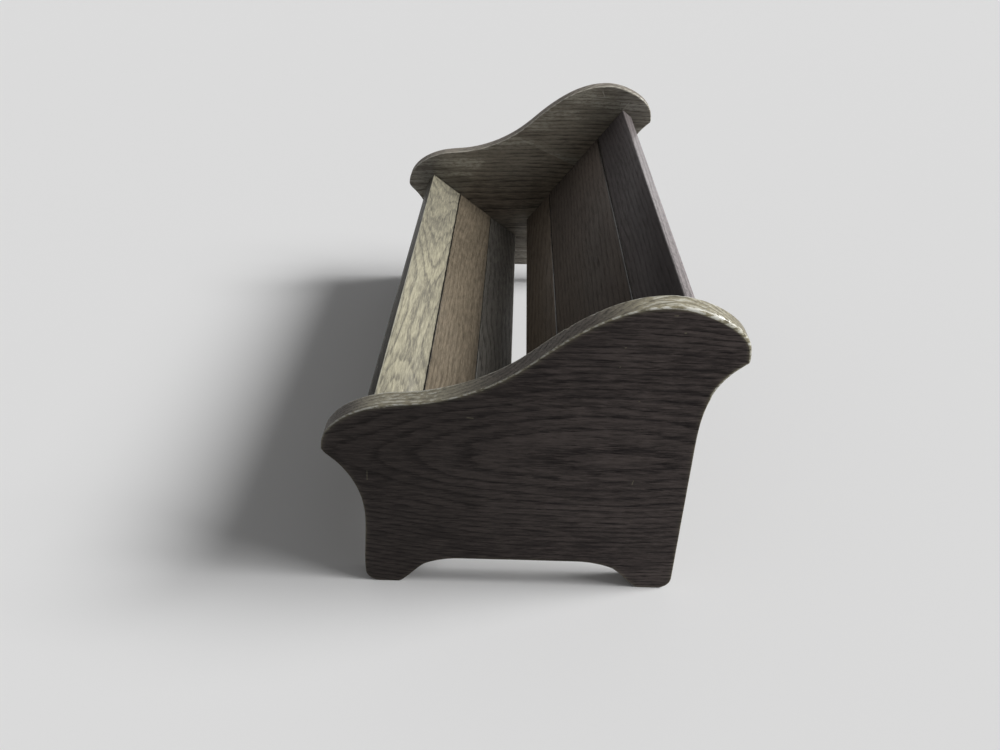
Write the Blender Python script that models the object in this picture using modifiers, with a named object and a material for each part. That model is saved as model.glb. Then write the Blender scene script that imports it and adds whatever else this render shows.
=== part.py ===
# Extending book slide in oak
#
# Two shaped ends, each on two feet, carry a trough of two boards that meet at a right angle: books stand on
# the shelf and lean on the back. Each board is three strips with tongue and groove seams. The outer strips
# belong to the right end and the middle strips to the left end, so the ends draw apart for a longer row.
# Metres, +Z up. X runs along the slide, its open front faces -Y, and the origin is on the floor under the
# middle of the closed slide.

import math

import bmesh
import bpy
from mathutils import Matrix, Vector

# Whole slide
CLOSED_LENGTH = 0.400
TRAVEL = 0.200
SEAT_GAP = 0.0003
FREE_END_GAP = 0.0012
STOP_GAP = 0.0005
CUT_OVERRUN = 0.002

# Trough: where the faces of the two boards would meet, and how far each board starts from there
TROUGH_FRONT_OF_MIDDLE = 0.009
TROUGH_HEIGHT = 0.0527
SHELF_TILT = math.radians(38)
SHELF_PAST_TROUGH = 0.0024
BACK_ABOVE_TROUGH = 0.0193

# Strips
BOARD_THICKNESS = 0.010
SHELF_OUTER_WIDTH = 0.0302
SHELF_MIDDLE_WIDTH = 0.0360
BACK_OUTER_WIDTH = 0.0329
BACK_MIDDLE_WIDTH = 0.0662
TONGUE_THICKNESS = 0.0032
TONGUE_DEPTH = 0.0035
STRIP_ARRIS = 0.0004

# Ends: board, feet and the arch between them
END_THICKNESS = 0.012
END_ARRIS = 0.0007
FOOT_HALF_SPAN = 0.0909
FOOT_WIDTH = 0.0194
FOOT_CORNER_RADIUS = 0.008
ARCH_HEIGHT = 0.0204
ARCH_RISE_RUN = 0.016
ARCH_EASE_RUN = 0.021
ARCH_KNEE_SHARE = 0.75

# Ends: the curved outline, set out from the feet and from the outer edges of the two boards
WAIST_HEIGHT = 0.056
WAIST_INSET = 0.0034
FLARE_HEIGHT = 0.110
FRONT_NOSE_REACH = 0.0234
FRONT_NOSE_DROP = 0.0089
FRONT_TIP_INSET = 0.0027
FRONT_TIP_DROP = 0.0047
SHOULDER_SETBACK = 0.0203
SHOULDER_RISE = 0.0209
SLOPE_ACROSS_SHARE = 0.51
SLOPE_UP_SHARE = 0.463
CREST_SETBACK = 0.0135
CREST_RISE = 0.0197
BACK_NOSE_REACH = 0.0254
BACK_NOSE_DROP = 0.0058
BACK_TIP_INSET = 0.0005
BACK_TIP_DROP = 0.0055
OUTLINE_STEPS = 7

# Dowels that join each strip to its end
DOWEL_DIAMETER = 0.005
DOWEL_IN_END = 0.0075
DOWEL_IN_STRIP = 0.014
DOWEL_SIDES = 12
PAIR_SPREAD_SHARE = 0.5
THREE_SPREAD_SHARE = 0.66

# Cleats under the boards
CLEAT_WIDTH = 0.020
CLEAT_THICKNESS = 0.008
CLEAT_MARGIN = 0.006
CLEAT_ARRIS = 0.0008
KEEPER_INSET = 0.015

# Countersunk wood screws, size four by five eighths of an inch
SCREW_LENGTH = 0.0159
SCREW_SHANK = 0.0028
SCREW_HEAD = 0.0056
SCREW_POINT = 0.0035
SCREW_RECESS = 0.0002
SLOT_WIDTH = 0.0008
SLOT_DEPTH = 0.0007
SCREW_SIDES = 12
KEEPER_SCREW_PITCH = 0.009
STOP_SCREW_SPREAD_SHARE = 0.56
SCREW_STAGGER_SHARE = 0.36

# Modelling tolerances
WELD_DISTANCE = 0.00001
FLAT_ANGLE = math.radians(0.02)
BEVEL_ANGLE = math.radians(50)
SMOOTH_ANGLE = math.radians(35)

# Share of a chord that makes a handle follow a quarter circle, and share that keeps a run straight and even
QUARTER_ARC_SHARE = 0.3905
STRAIGHT_SHARE = 1 / 3

# Which way the outline of an end heads at each of its nodes, in degrees above the horizontal
END_HEADINGS = {
    "front sole": 180,
    "front heel": 90,
    "front waist": 90,
    "front tip": 137,
    "front nose": 90,
    "shoulder": 3,
    "slope": 41,
    "crest": 0,
    "back nose": -90,
    "back tip": -141,
    "back waist": -90,
    "back heel": -90,
    "back sole": 180,
    "back foot": 180,
    "back knee": 150,
    "arch back": 180,
    "arch front": 180,
    "front knee": -150,
    "front foot": 180,
}

# Handles of each node before and after it, as shares of the chords to its neighbours
END_HANDLE_SHARES = {
    "front sole": (STRAIGHT_SHARE, QUARTER_ARC_SHARE),
    "front heel": (QUARTER_ARC_SHARE, 0.33),
    "front waist": (0.33, 0.38),
    "front tip": (0.31, 0.25),
    "front nose": (0.25, 0.28),
    "shoulder": (0.49, 0.33),
    "slope": (0.36, 0.32),
    "crest": (0.36, 0.35),
    "back nose": (0.30, 0.27),
    "back tip": (0.27, 0.37),
    "back waist": (0.43, STRAIGHT_SHARE),
    "back heel": (STRAIGHT_SHARE, QUARTER_ARC_SHARE),
    "back sole": (QUARTER_ARC_SHARE, STRAIGHT_SHARE),
    "back foot": (STRAIGHT_SHARE, 0.12),
    "back knee": (0.20, 0.25),
    "arch back": (0.35, STRAIGHT_SHARE),
    "arch front": (STRAIGHT_SHARE, 0.35),
    "front knee": (0.25, 0.20),
    "front foot": (0.12, STRAIGHT_SHARE),
}

# Sizes worked out from the driving ones
INSIDE_HALF = CLOSED_LENGTH / 2 - END_THICKNESS
GROOVE_DEPTH = TONGUE_DEPTH + SEAT_GAP
GROOVE_THICKNESS = TONGUE_THICKNESS + 2 * SEAT_GAP
SHELF_WIDTH = 2 * SHELF_OUTER_WIDTH + SHELF_MIDDLE_WIDTH + 2 * SEAT_GAP
BACK_WIDTH = 2 * BACK_OUTER_WIDTH + BACK_MIDDLE_WIDTH + 2 * SEAT_GAP
CLEAT_FACE = -(BOARD_THICKNESS + SEAT_GAP + CLEAT_THICKNESS)
KEEPER_CENTRE = -INSIDE_HALF + FREE_END_GAP + KEEPER_INSET + CLEAT_WIDTH / 2
STOP_CENTRE = KEEPER_CENTRE + CLEAT_WIDTH + TRAVEL + STOP_GAP

# Colours of the oak in linear values: the boards differ a little, as sawn strips do
OAK_END = (0.075, 0.052, 0.034)
OAK_SHELF_FRONT = (0.170, 0.130, 0.085)
OAK_SHELF_MIDDLE = (0.125, 0.090, 0.058)
OAK_SHELF_REAR = (0.100, 0.074, 0.050)
OAK_BACK = (0.082, 0.060, 0.042)
OAK_CLEAT = (0.110, 0.080, 0.052)
DOWEL_BEECH = (0.420, 0.300, 0.180)
SCREW_STEEL = (0.230, 0.215, 0.195)


def clear_scene():
    """Remove every object that the file opened with."""
    for found in list(bpy.data.objects):
        bpy.data.objects.remove(found, do_unlink=True)


def new_collection(name):
    """A collection under the scene."""
    collection = bpy.data.collections.new(name)
    bpy.context.scene.collection.children.link(collection)
    return collection


clear_scene()
PARTS = new_collection("book_slide")
CUTTERS = new_collection("cutters")


def wood(name, colour, roughness=0.62):
    """Waxed, darkened oak or beech."""
    material = bpy.data.materials.new(name)
    material.use_nodes = True
    shader = material.node_tree.nodes["Principled BSDF"]
    shader.inputs["Base Color"].default_value = (*colour, 1)
    shader.inputs["Roughness"].default_value = roughness
    shader.inputs["Metallic"].default_value = 0
    return material


def steel(name, colour, roughness=0.42):
    """Dulled steel."""
    material = wood(name, colour, roughness)
    material.node_tree.nodes["Principled BSDF"].inputs["Metallic"].default_value = 1
    return material


# Frames: in each, x runs across the piece from front to back, y stands off its face, and z runs along the
# slide

PROFILE_AXES = Matrix(((0, 0, 1), (1, 0, 0), (0, 1, 0))).to_4x4()


def profile_frame(y, z, tilt):
    """The frame of a profile that lies square to the slide, turned by tilt about X."""
    return Matrix.Translation((0, y, z)) @ Matrix.Rotation(tilt, 4, "X") @ PROFILE_AXES


def polar(y, z, angle, reach):
    """A point at a reach and an angle above +Y from another point of the profile."""
    return Vector((y + reach * math.cos(angle), z + reach * math.sin(angle)))


# Corners of the trough, first from the middle of the feet
TROUGH = Vector((-TROUGH_FRONT_OF_MIDDLE, TROUGH_HEIGHT))
SHELF_FRONT = polar(*TROUGH, math.pi - SHELF_TILT, SHELF_WIDTH - SHELF_PAST_TROUGH)
BACK_LOW = polar(*TROUGH, math.pi / 2 - SHELF_TILT, BACK_ABOVE_TROUGH)
BACK_TOP = polar(*TROUGH, math.pi / 2 - SHELF_TILT, BACK_ABOVE_TROUGH + BACK_WIDTH)
FRONT_NOSE = SHELF_FRONT - Vector((FRONT_NOSE_REACH, FRONT_NOSE_DROP))
BACK_NOSE = BACK_TOP + Vector((BACK_NOSE_REACH, -BACK_NOSE_DROP))

# The origin is under the middle of the whole depth, so the feet stand a little in front of it
FOOT_MIDDLE = -(FRONT_NOSE.x + BACK_NOSE.x) / 2

END_FRAME = profile_frame(FOOT_MIDDLE, 0, 0)
SHELF_FRAME = profile_frame(FOOT_MIDDLE + SHELF_FRONT.x, SHELF_FRONT.y, -SHELF_TILT)
BACK_FRAME = profile_frame(FOOT_MIDDLE + BACK_LOW.x, BACK_LOW.y, math.pi / 2 - SHELF_TILT)


def half_empty(name):
    """The empty that carries one half of the slide, on the line along which the halves draw apart."""
    empty = bpy.data.objects.new(name, None)
    empty.empty_display_size = END_THICKNESS
    PARTS.objects.link(empty)
    return empty


RIGHT_HALF = half_empty("right_half")
LEFT_HALF = half_empty("left_half")


def finish(mesh, material):
    """Give a mesh its one material."""
    mesh.materials.clear()
    mesh.materials.append(material)


def put(name, mesh, position, collection):
    """An object of a mesh at a position, in a collection."""
    item = bpy.data.objects.new(name, mesh)
    collection.objects.link(item)
    item.location = position.to_translation()
    item.rotation_euler = position.to_euler()
    return item


def place(name, mesh, position, half):
    """Put a mesh in the slide as a named piece of one half."""
    piece = put(name, mesh, position, PARTS)
    piece.parent = half
    return piece


def place_cutter(name, mesh, position):
    """Put a mesh among the cutters, where it is only a guide."""
    cutter = put(name, mesh, position, CUTTERS)
    cutter.hide_render = True
    cutter.display_type = "WIRE"
    return cutter


def spot(frame, across, off, along):
    """A place in a frame, turned as the frame is."""
    return frame @ Matrix.Translation((across, off, along))


def cut(piece, cutter):
    """Take a cutter's shape out of a piece."""
    boolean = piece.modifiers.new(cutter.name, "BOOLEAN")
    boolean.operation = "DIFFERENCE"
    boolean.solver = "EXACT"
    boolean.object = cutter


def ease_edges(piece, width, segments):
    """Round the sharp arrises of a piece."""
    bevel = piece.modifiers.new("eased arrises", "BEVEL")
    bevel.width = width
    bevel.segments = segments
    bevel.limit_method = "ANGLE"
    bevel.angle_limit = BEVEL_ANGLE
    bevel.harden_normals = True


def evaluated_mesh(source):
    """A plain mesh of an object as its modifiers or its curve make it."""
    depsgraph = bpy.context.evaluated_depsgraph_get()
    return bpy.data.meshes.new_from_object(source.evaluated_get(depsgraph))


def smooth(mesh):
    """Shade the round sides smooth and keep the arrises sharp."""
    mesh.shade_smooth()
    mesh.set_sharp_from_angle(angle=SMOOTH_ANGLE)


def flat_mesh(name, curve):
    """A mesh of one flat face inside a closed curve."""
    curve.dimensions = "2D"
    curve.fill_mode = "NONE"
    guide = bpy.data.objects.new(name, curve)
    CUTTERS.objects.link(guide)
    mesh = evaluated_mesh(guide)
    bpy.data.objects.remove(guide)
    shell = bmesh.new()
    shell.from_mesh(mesh)
    bmesh.ops.remove_doubles(shell, verts=shell.verts, dist=WELD_DISTANCE)
    bmesh.ops.contextual_create(shell, geom=shell.edges)
    bmesh.ops.dissolve_limit(shell, angle_limit=FLAT_ANGLE, verts=shell.verts, edges=shell.edges)
    shell.to_mesh(mesh)
    shell.free()
    mesh.name = name
    return mesh


def outline_mesh(name, corners):
    """A mesh of one flat face with the given corners."""
    curve = bpy.data.curves.new(name, "CURVE")
    spline = curve.splines.new("POLY")
    spline.points.add(len(corners) - 1)
    for point, (across, off) in zip(spline.points, corners):
        point.co = (across, off, 0, 1)
    spline.use_cyclic_u = True
    return flat_mesh(name, curve)


def thicken(piece, length):
    """Give a flat piece its length along the slide, half to each side."""
    solidify = piece.modifiers.new("length along the slide", "SOLIDIFY")
    solidify.thickness = length
    solidify.offset = 0


# End boards


def end_nodes():
    """The nodes of an end's outline: up the front edge, over the top, down the back and along the arch."""
    foot = FOOT_HALF_SPAN
    radius = FOOT_CORNER_RADIUS
    foot_inner = foot - FOOT_WIDTH
    knee = foot_inner - ARCH_RISE_RUN
    arch_end = knee - ARCH_EASE_RUN
    knee_height = ARCH_HEIGHT * ARCH_KNEE_SHARE
    shoulder = SHELF_FRONT + Vector((SHOULDER_SETBACK, SHOULDER_RISE))
    crest = BACK_TOP + Vector((-CREST_SETBACK, CREST_RISE))
    climb = crest - shoulder
    return {
        "front sole": Vector((-foot + radius, 0)),
        "front heel": Vector((-foot, radius)),
        "front waist": Vector((-foot + WAIST_INSET, WAIST_HEIGHT)),
        "front tip": FRONT_NOSE + Vector((FRONT_TIP_INSET, -FRONT_TIP_DROP)),
        "front nose": FRONT_NOSE,
        "shoulder": shoulder,
        "slope": shoulder + Vector((SLOPE_ACROSS_SHARE * climb.x, SLOPE_UP_SHARE * climb.y)),
        "crest": crest,
        "back nose": BACK_NOSE,
        "back tip": BACK_NOSE - Vector((BACK_TIP_INSET, BACK_TIP_DROP)),
        "back waist": Vector((foot, FLARE_HEIGHT)),
        "back heel": Vector((foot, radius)),
        "back sole": Vector((foot - radius, 0)),
        "back foot": Vector((foot_inner, 0)),
        "back knee": Vector((knee, knee_height)),
        "arch back": Vector((arch_end, ARCH_HEIGHT)),
        "arch front": Vector((-arch_end, ARCH_HEIGHT)),
        "front knee": Vector((-knee, knee_height)),
        "front foot": Vector((-foot_inner, 0)),
    }


def end_curve():
    """The outline of an end as a closed Bezier curve."""
    nodes = list(end_nodes().items())
    curve = bpy.data.curves.new("end_outline", "CURVE")
    curve.resolution_u = OUTLINE_STEPS
    spline = curve.splines.new("BEZIER")
    spline.bezier_points.add(len(nodes) - 1)
    spline.use_cyclic_u = True
    for index, (name, point) in enumerate(nodes):
        before = nodes[index - 1][1]
        after = nodes[(index + 1) % len(nodes)][1]
        heading = math.radians(END_HEADINGS[name])
        tangent = Vector((math.cos(heading), math.sin(heading)))
        share_before, share_after = END_HANDLE_SHARES[name]
        knot = spline.bezier_points[index]
        knot.handle_left_type = "FREE"
        knot.handle_right_type = "FREE"
        knot.co = (*point, 0)
        knot.handle_left = (*(point - tangent * share_before * (point - before).length), 0)
        knot.handle_right = (*(point + tangent * share_after * (after - point).length), 0)
    return curve


def end_board(name, side, half):
    """One shaped end; side is 1 on the right and -1 on the left."""
    mesh = flat_mesh(name, end_curve())
    mesh.shade_smooth()
    finish(mesh, wood(name + "_oak", OAK_END))
    along = side * (CLOSED_LENGTH - END_THICKNESS) / 2
    piece = place(name, mesh, spot(END_FRAME, 0, 0, along), half)
    thicken(piece, END_THICKNESS)
    ease_edges(piece, END_ARRIS, 2)
    return piece


# Strips


def strip_corners(low, width, groove_low, groove_high, tongue):
    """The section of a strip: plain, grooved on either edge, or tongued on both."""
    high = low + width
    middle = -BOARD_THICKNESS / 2
    groove = GROOVE_THICKNESS / 2
    half_tongue = TONGUE_THICKNESS / 2
    section = [(low, 0), (high, 0)]
    if groove_high:
        section += [(high, middle + groove), (high - GROOVE_DEPTH, middle + groove)]
        section += [(high - GROOVE_DEPTH, middle - groove), (high, middle - groove)]
    if tongue:
        section += [(high, middle + half_tongue), (high + TONGUE_DEPTH, middle + half_tongue)]
        section += [(high + TONGUE_DEPTH, middle - half_tongue), (high, middle - half_tongue)]
    section += [(high, -BOARD_THICKNESS), (low, -BOARD_THICKNESS)]
    if groove_low:
        section += [(low, middle - groove), (low + GROOVE_DEPTH, middle - groove)]
        section += [(low + GROOVE_DEPTH, middle + groove), (low, middle + groove)]
    if tongue:
        section += [(low, middle - half_tongue), (low - TONGUE_DEPTH, middle - half_tongue)]
        section += [(low - TONGUE_DEPTH, middle + half_tongue), (low, middle + half_tongue)]
    return section


def rods(name, places, radius, depth):
    """A mesh of round rods along z, one at each (across, off) place, centred on z zero."""
    shell = bmesh.new()
    for across, off in places:
        centre = Matrix.Translation((across, off, 0))
        bmesh.ops.create_cone(shell, cap_ends=True, segments=DOWEL_SIDES, radius1=radius, radius2=radius,
                              depth=depth, matrix=centre)
    mesh = bpy.data.meshes.new(name)
    shell.to_mesh(mesh)
    shell.free()
    smooth(mesh)
    return mesh


def dowel_places(low, width, count, spread_share):
    """Where the dowels of a strip stand across it, at the middle of its thickness."""
    middle = low + width / 2
    spread = width * spread_share
    steps = [index / (count - 1) - 0.5 for index in range(count)]
    return [(middle + spread * step, -BOARD_THICKNESS / 2) for step in steps]


DOWEL_HOLE_LENGTH = DOWEL_IN_END + DOWEL_IN_STRIP
DOWEL_MESH = rods("dowel", [(0, 0)], DOWEL_DIAMETER / 2, DOWEL_HOLE_LENGTH - 2 * SEAT_GAP)
finish(DOWEL_MESH, wood("dowel_beech", DOWEL_BEECH))


def dowel_joint(name, frame, side, drilled, places, half):
    """Drill a strip and its end together and fill each hole with a dowel."""
    middle = side * (INSIDE_HALF + DOWEL_IN_END - DOWEL_HOLE_LENGTH / 2)
    hole_mesh = rods(name + "_holes", places, DOWEL_DIAMETER / 2 + SEAT_GAP, DOWEL_HOLE_LENGTH)
    holes = place_cutter(name + "_holes", hole_mesh, spot(frame, 0, 0, middle))
    for piece in drilled:
        cut(piece, holes)
    for number, (across, off) in enumerate(places, 1):
        place(f"{name}_{number}", DOWEL_MESH, spot(frame, across, off, middle), half)


def strip(name, frame, side, low, width, colour, half, groove_low=False, groove_high=False, tongue=False):
    """One strip, seated on the inside of the end at its side and clear of the other end."""
    length = 2 * INSIDE_HALF - SEAT_GAP - FREE_END_GAP
    along = side * (FREE_END_GAP - SEAT_GAP) / 2
    mesh = outline_mesh(name, strip_corners(low, width, groove_low, groove_high, tongue))
    finish(mesh, wood(name + "_oak", colour))
    piece = place(name, mesh, spot(frame, 0, 0, along), half)
    thicken(piece, length)
    ease_edges(piece, STRIP_ARRIS, 1)
    return piece


def board(prefix, names, frame, outer, middle, colours, middle_dowels, ends):
    """The three strips of a board and their dowels: the outer two on the right end, the middle on the left."""
    front_name, middle_name, rear_name = [prefix + "_" + name for name in names]
    right_end, left_end = ends
    middle_low = outer + SEAT_GAP
    rear_low = middle_low + middle + SEAT_GAP
    solid = outer - GROOVE_DEPTH
    front = strip(front_name + "_strip", frame, 1, 0, outer, colours[0], RIGHT_HALF, groove_high=True)
    centre = strip(middle_name + "_strip", frame, -1, middle_low, middle, colours[1], LEFT_HALF, tongue=True)
    rear = strip(rear_name + "_strip", frame, 1, rear_low, outer, colours[2], RIGHT_HALF, groove_low=True)
    front_places = dowel_places(0, solid, 2, PAIR_SPREAD_SHARE)
    centre_places = dowel_places(middle_low, middle, *middle_dowels)
    rear_places = dowel_places(rear_low + GROOVE_DEPTH, solid, 2, PAIR_SPREAD_SHARE)
    dowel_joint(front_name + "_dowel", frame, 1, (front, right_end), front_places, RIGHT_HALF)
    dowel_joint(middle_name + "_dowel", frame, -1, (centre, left_end), centre_places, LEFT_HALF)
    dowel_joint(rear_name + "_dowel", frame, 1, (rear, right_end), rear_places, RIGHT_HALF)
    return front, centre, rear


# Cleats and their screws


def turned_mesh(name, profile):
    """A solid turned about Z from a profile that runs down its outer side from the axis to the axis."""
    line = bpy.data.meshes.new(name)
    line.from_pydata([(radius, 0, height) for radius, height in profile], pairs(len(profile)), [])
    guide = bpy.data.objects.new(name, line)
    CUTTERS.objects.link(guide)
    spin = guide.modifiers.new("turn", "SCREW")
    spin.axis = "Z"
    spin.steps = SCREW_SIDES
    spin.render_steps = SCREW_SIDES
    spin.use_merge_vertices = True
    spin.merge_threshold = WELD_DISTANCE
    mesh = evaluated_mesh(guide)
    bpy.data.objects.remove(guide)
    return mesh


def pairs(count):
    """The edges of an open line of points."""
    return [(index, index + 1) for index in range(count - 1)]


def screw_profile(grow, head_top):
    """Half of a countersunk screw from its head at height zero down to its point, grown all round."""
    head = SCREW_HEAD / 2 + grow
    shank = SCREW_SHANK / 2 + grow
    head_depth = (SCREW_HEAD - SCREW_SHANK) / 2
    profile = [(0, head_top), (head, head_top)]
    if head_top > 0:
        profile.append((head, 0))
    profile += [(shank, -head_depth), (shank, -(SCREW_LENGTH - SCREW_POINT)), (0, -(SCREW_LENGTH + grow))]
    return profile


def slotted_screw_mesh():
    """A countersunk wood screw with a straight slot across its head."""
    blank = bpy.data.objects.new("screw_blank", turned_mesh("screw_blank", screw_profile(0, 0)))
    CUTTERS.objects.link(blank)
    shell = bmesh.new()
    size = Matrix.Diagonal((SCREW_HEAD + CUT_OVERRUN, SLOT_WIDTH, 2 * SLOT_DEPTH, 1))
    bmesh.ops.create_cube(shell, size=1, matrix=size)
    slot_mesh = bpy.data.meshes.new("slot")
    shell.to_mesh(slot_mesh)
    shell.free()
    slot = place_cutter("screw_slot", slot_mesh, Matrix.Identity(4))
    cut(blank, slot)
    mesh = evaluated_mesh(blank)
    bpy.data.objects.remove(blank)
    bpy.data.objects.remove(slot)
    smooth(mesh)
    return mesh


SCREW_MESH = slotted_screw_mesh()
finish(SCREW_MESH, steel("screw_steel", SCREW_STEEL))
SCREW_HOLE_MESH = turned_mesh("screw_hole", screw_profile(SEAT_GAP, CUT_OVERRUN))
HEAD_DOWN = Matrix.Rotation(math.pi / 2, 4, "X")


def cleat(prefix, kind, frame, board_width, along, half, screwed):
    """A bar across the underside of a board; screwed gives each (strip, across, step along) of its screws."""
    name = f"{prefix}_{kind}_cleat"
    top = -(BOARD_THICKNESS + SEAT_GAP)
    low = CLEAT_MARGIN
    high = board_width - CLEAT_MARGIN
    section = [(low, top), (high, top), (high, CLEAT_FACE), (low, CLEAT_FACE)]
    mesh = outline_mesh(name, section)
    finish(mesh, wood(name + "_oak", OAK_CLEAT))
    piece = place(name, mesh, spot(frame, 0, 0, along), half)
    thicken(piece, CLEAT_WIDTH)
    ease_edges(piece, CLEAT_ARRIS, 2)
    for number, (strip_held, across, step) in enumerate(screwed, 1):
        seat = spot(frame, across, CLEAT_FACE + SCREW_RECESS, along + step) @ HEAD_DOWN
        screw_name = f"{prefix}_{kind}_screw_{number}"
        hole = place_cutter(screw_name + "_hole", SCREW_HOLE_MESH, seat)
        cut(piece, hole)
        cut(strip_held, hole)
        place(screw_name, SCREW_MESH, seat, half)


def board_cleats(prefix, frame, outer, middle, strips):
    """The keeper under a board's outer strips and the stop under its middle strip."""
    front, centre, rear = strips
    width = 2 * outer + middle + 2 * SEAT_GAP
    held_middle = (CLEAT_MARGIN + outer - GROOVE_DEPTH) / 2
    half_pitch = KEEPER_SCREW_PITCH / 2
    step = CLEAT_WIDTH * SCREW_STAGGER_SHARE / 2
    keeper_screws = [
        (front, held_middle - half_pitch, -step),
        (front, held_middle + half_pitch, step),
        (rear, width - held_middle - half_pitch, -step),
        (rear, width - held_middle + half_pitch, step),
    ]
    cleat(prefix, "keeper", frame, width, KEEPER_CENTRE, RIGHT_HALF, keeper_screws)
    half_spread = middle * STOP_SCREW_SPREAD_SHARE / 2
    stop_screws = [(centre, width / 2 - half_spread, -step), (centre, width / 2 + half_spread, step)]
    cleat(prefix, "stop", frame, width, STOP_CENTRE, LEFT_HALF, stop_screws)


# The whole slide


def build():
    """Model every piece at rest, with the slide closed."""
    ends = (end_board("right_end", 1, RIGHT_HALF), end_board("left_end", -1, LEFT_HALF))
    shelf = board("shelf", ("front", "middle", "rear"), SHELF_FRAME, SHELF_OUTER_WIDTH, SHELF_MIDDLE_WIDTH,
                  (OAK_SHELF_FRONT, OAK_SHELF_MIDDLE, OAK_SHELF_REAR), (2, PAIR_SPREAD_SHARE), ends)
    back = board("back", ("lower", "middle", "upper"), BACK_FRAME, BACK_OUTER_WIDTH, BACK_MIDDLE_WIDTH,
                 (OAK_BACK, OAK_BACK, OAK_BACK), (3, THREE_SPREAD_SHARE), ends)
    board_cleats("shelf", SHELF_FRAME, SHELF_OUTER_WIDTH, SHELF_MIDDLE_WIDTH, shelf)
    board_cleats("back", BACK_FRAME, BACK_OUTER_WIDTH, BACK_MIDDLE_WIDTH, back)


build()
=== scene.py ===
# %% [markdown]
# # An extending book slide in dark oak
# Two shaped ends carry a trough of two boards. Books stand on the lower board, the shelf, and lean on the
# steeper one, the back. Each board is three strips with tongue and groove seams. The outer strips are fixed
# to the right end and the middle strips to the left end, so the ends draw apart for a longer row of books.
#
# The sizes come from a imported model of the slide, which is loaded first and is never changed. The pieces that
# show are then made again here with worn edges, and each gets its own wood. All lengths are in metres.

import math

import bmesh
import bpy
import numpy as np
from mathutils import Matrix, Vector


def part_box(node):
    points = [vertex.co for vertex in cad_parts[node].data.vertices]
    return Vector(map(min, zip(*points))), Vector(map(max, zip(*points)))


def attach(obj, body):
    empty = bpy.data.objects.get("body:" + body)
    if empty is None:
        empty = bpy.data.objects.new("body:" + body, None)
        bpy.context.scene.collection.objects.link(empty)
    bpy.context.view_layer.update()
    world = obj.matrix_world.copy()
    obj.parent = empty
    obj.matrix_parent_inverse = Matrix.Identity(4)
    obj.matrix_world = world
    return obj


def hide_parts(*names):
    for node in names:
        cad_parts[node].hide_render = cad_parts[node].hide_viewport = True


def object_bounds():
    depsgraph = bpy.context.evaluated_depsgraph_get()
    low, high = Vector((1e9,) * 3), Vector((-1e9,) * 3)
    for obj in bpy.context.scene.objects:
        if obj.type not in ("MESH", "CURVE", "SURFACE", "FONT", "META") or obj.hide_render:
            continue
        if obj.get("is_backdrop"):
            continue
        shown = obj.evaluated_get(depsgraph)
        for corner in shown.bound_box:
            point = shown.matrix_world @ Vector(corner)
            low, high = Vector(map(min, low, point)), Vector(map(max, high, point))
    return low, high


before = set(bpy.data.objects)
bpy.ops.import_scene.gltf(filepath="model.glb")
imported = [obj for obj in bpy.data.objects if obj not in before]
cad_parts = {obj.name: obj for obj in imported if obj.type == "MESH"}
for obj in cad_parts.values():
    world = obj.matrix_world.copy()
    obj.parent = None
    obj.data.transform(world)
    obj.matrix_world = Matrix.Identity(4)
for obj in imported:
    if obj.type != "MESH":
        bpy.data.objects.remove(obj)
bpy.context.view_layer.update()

# %% [markdown]
# ## Sizes and frames
# A joiner lays the pieces of this slide out from three surfaces: the face of the shelf, the face of the back
# and the inner faces of the two ends. Each board therefore gets a frame of its own, a matrix that turns "along
# the slide, across the board, off its face" into the place in the room. Everything on a board is then
# measured in plain numbers from its front edge.

# %% Frames of the two boards
INSIDE_HALF = 0.188
END_THICKNESS = 0.012
BOARD_THICKNESS = 0.010
SEAT_GAP = 0.0003
FREE_END_GAP = 0.0012


def board_frame(y, z, slope):
    """A frame whose X runs along the slide, Y across the board from front to back, and Z off its face."""
    return Matrix.Translation((0, y, z)) @ Matrix.Rotation(math.radians(slope), 4, "X")


SHELF = board_frame(-0.085032, 0.110942, -38)
BACK = board_frame(0.001396, 0.067909, 52)
corner = SHELF.to_3x3().col[2].angle(BACK.to_3x3().col[2])
print("angle between shelf and back:", round(math.degrees(corner), 1), "degrees")

# %% [markdown]
# ## Helpers for node trees
# Shaders and Geometry Nodes are both built from nodes. Writing one line for each socket hides the idea, so a
# small helper adds a node and fills its inputs at once: an output of another node is linked, and a number is
# typed in. An output is wrapped as a value that knows its tree. Arithmetic with a value adds a Math node, so
# a * b + c in this script is two nodes in the editor, and a whole formula reads as one line. The nodes are laid
# out in rows, so that the tree can still be followed there.


# %% Adding nodes
class Value:
    """An output of a node. Arithmetic with it adds Math nodes to the same tree."""

    def __init__(self, socket):
        self.socket = socket
        self.tree = socket.id_data

    def __add__(self, other):
        return calculate("ADD", self, other)

    def __sub__(self, other):
        return calculate("SUBTRACT", self, other)

    def __rsub__(self, other):
        return calculate("SUBTRACT", other, self)

    def __mul__(self, other):
        return calculate("MULTIPLY", self, other)

    def __truediv__(self, other):
        return calculate("DIVIDE", self, other)

    def __rtruediv__(self, other):
        return calculate("DIVIDE", other, self)

    def __neg__(self):
        return calculate("MULTIPLY", self, -1.0)

    def __abs__(self):
        return calculate("ABSOLUTE", self)


NODES_IN_A_ROW = 14


def fill(made, sockets):
    """Link or set the inputs of a node that are given by name or number."""
    for key, given in sockets.items():
        if isinstance(given, Value):
            made.id_data.links.new(given.socket, made.inputs[key])
        else:
            made.inputs[key].default_value = given


def add_node(tree, kind, sockets=None, **settings):
    """Add a node, change its settings, then link or set its inputs."""
    made = tree.nodes.new(kind)
    row, column = divmod(len(tree.nodes), NODES_IN_A_ROW)
    made.location = (220 * column, -320 * row)
    for name, setting in settings.items():
        setattr(made, name, setting)
    fill(made, sockets or {})
    return made


def node(tree, kind, sockets=None, output=0, **settings):
    """Add a node and return one of its outputs as a value."""
    return Value(add_node(tree, kind, sockets, **settings).outputs[output])


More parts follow.
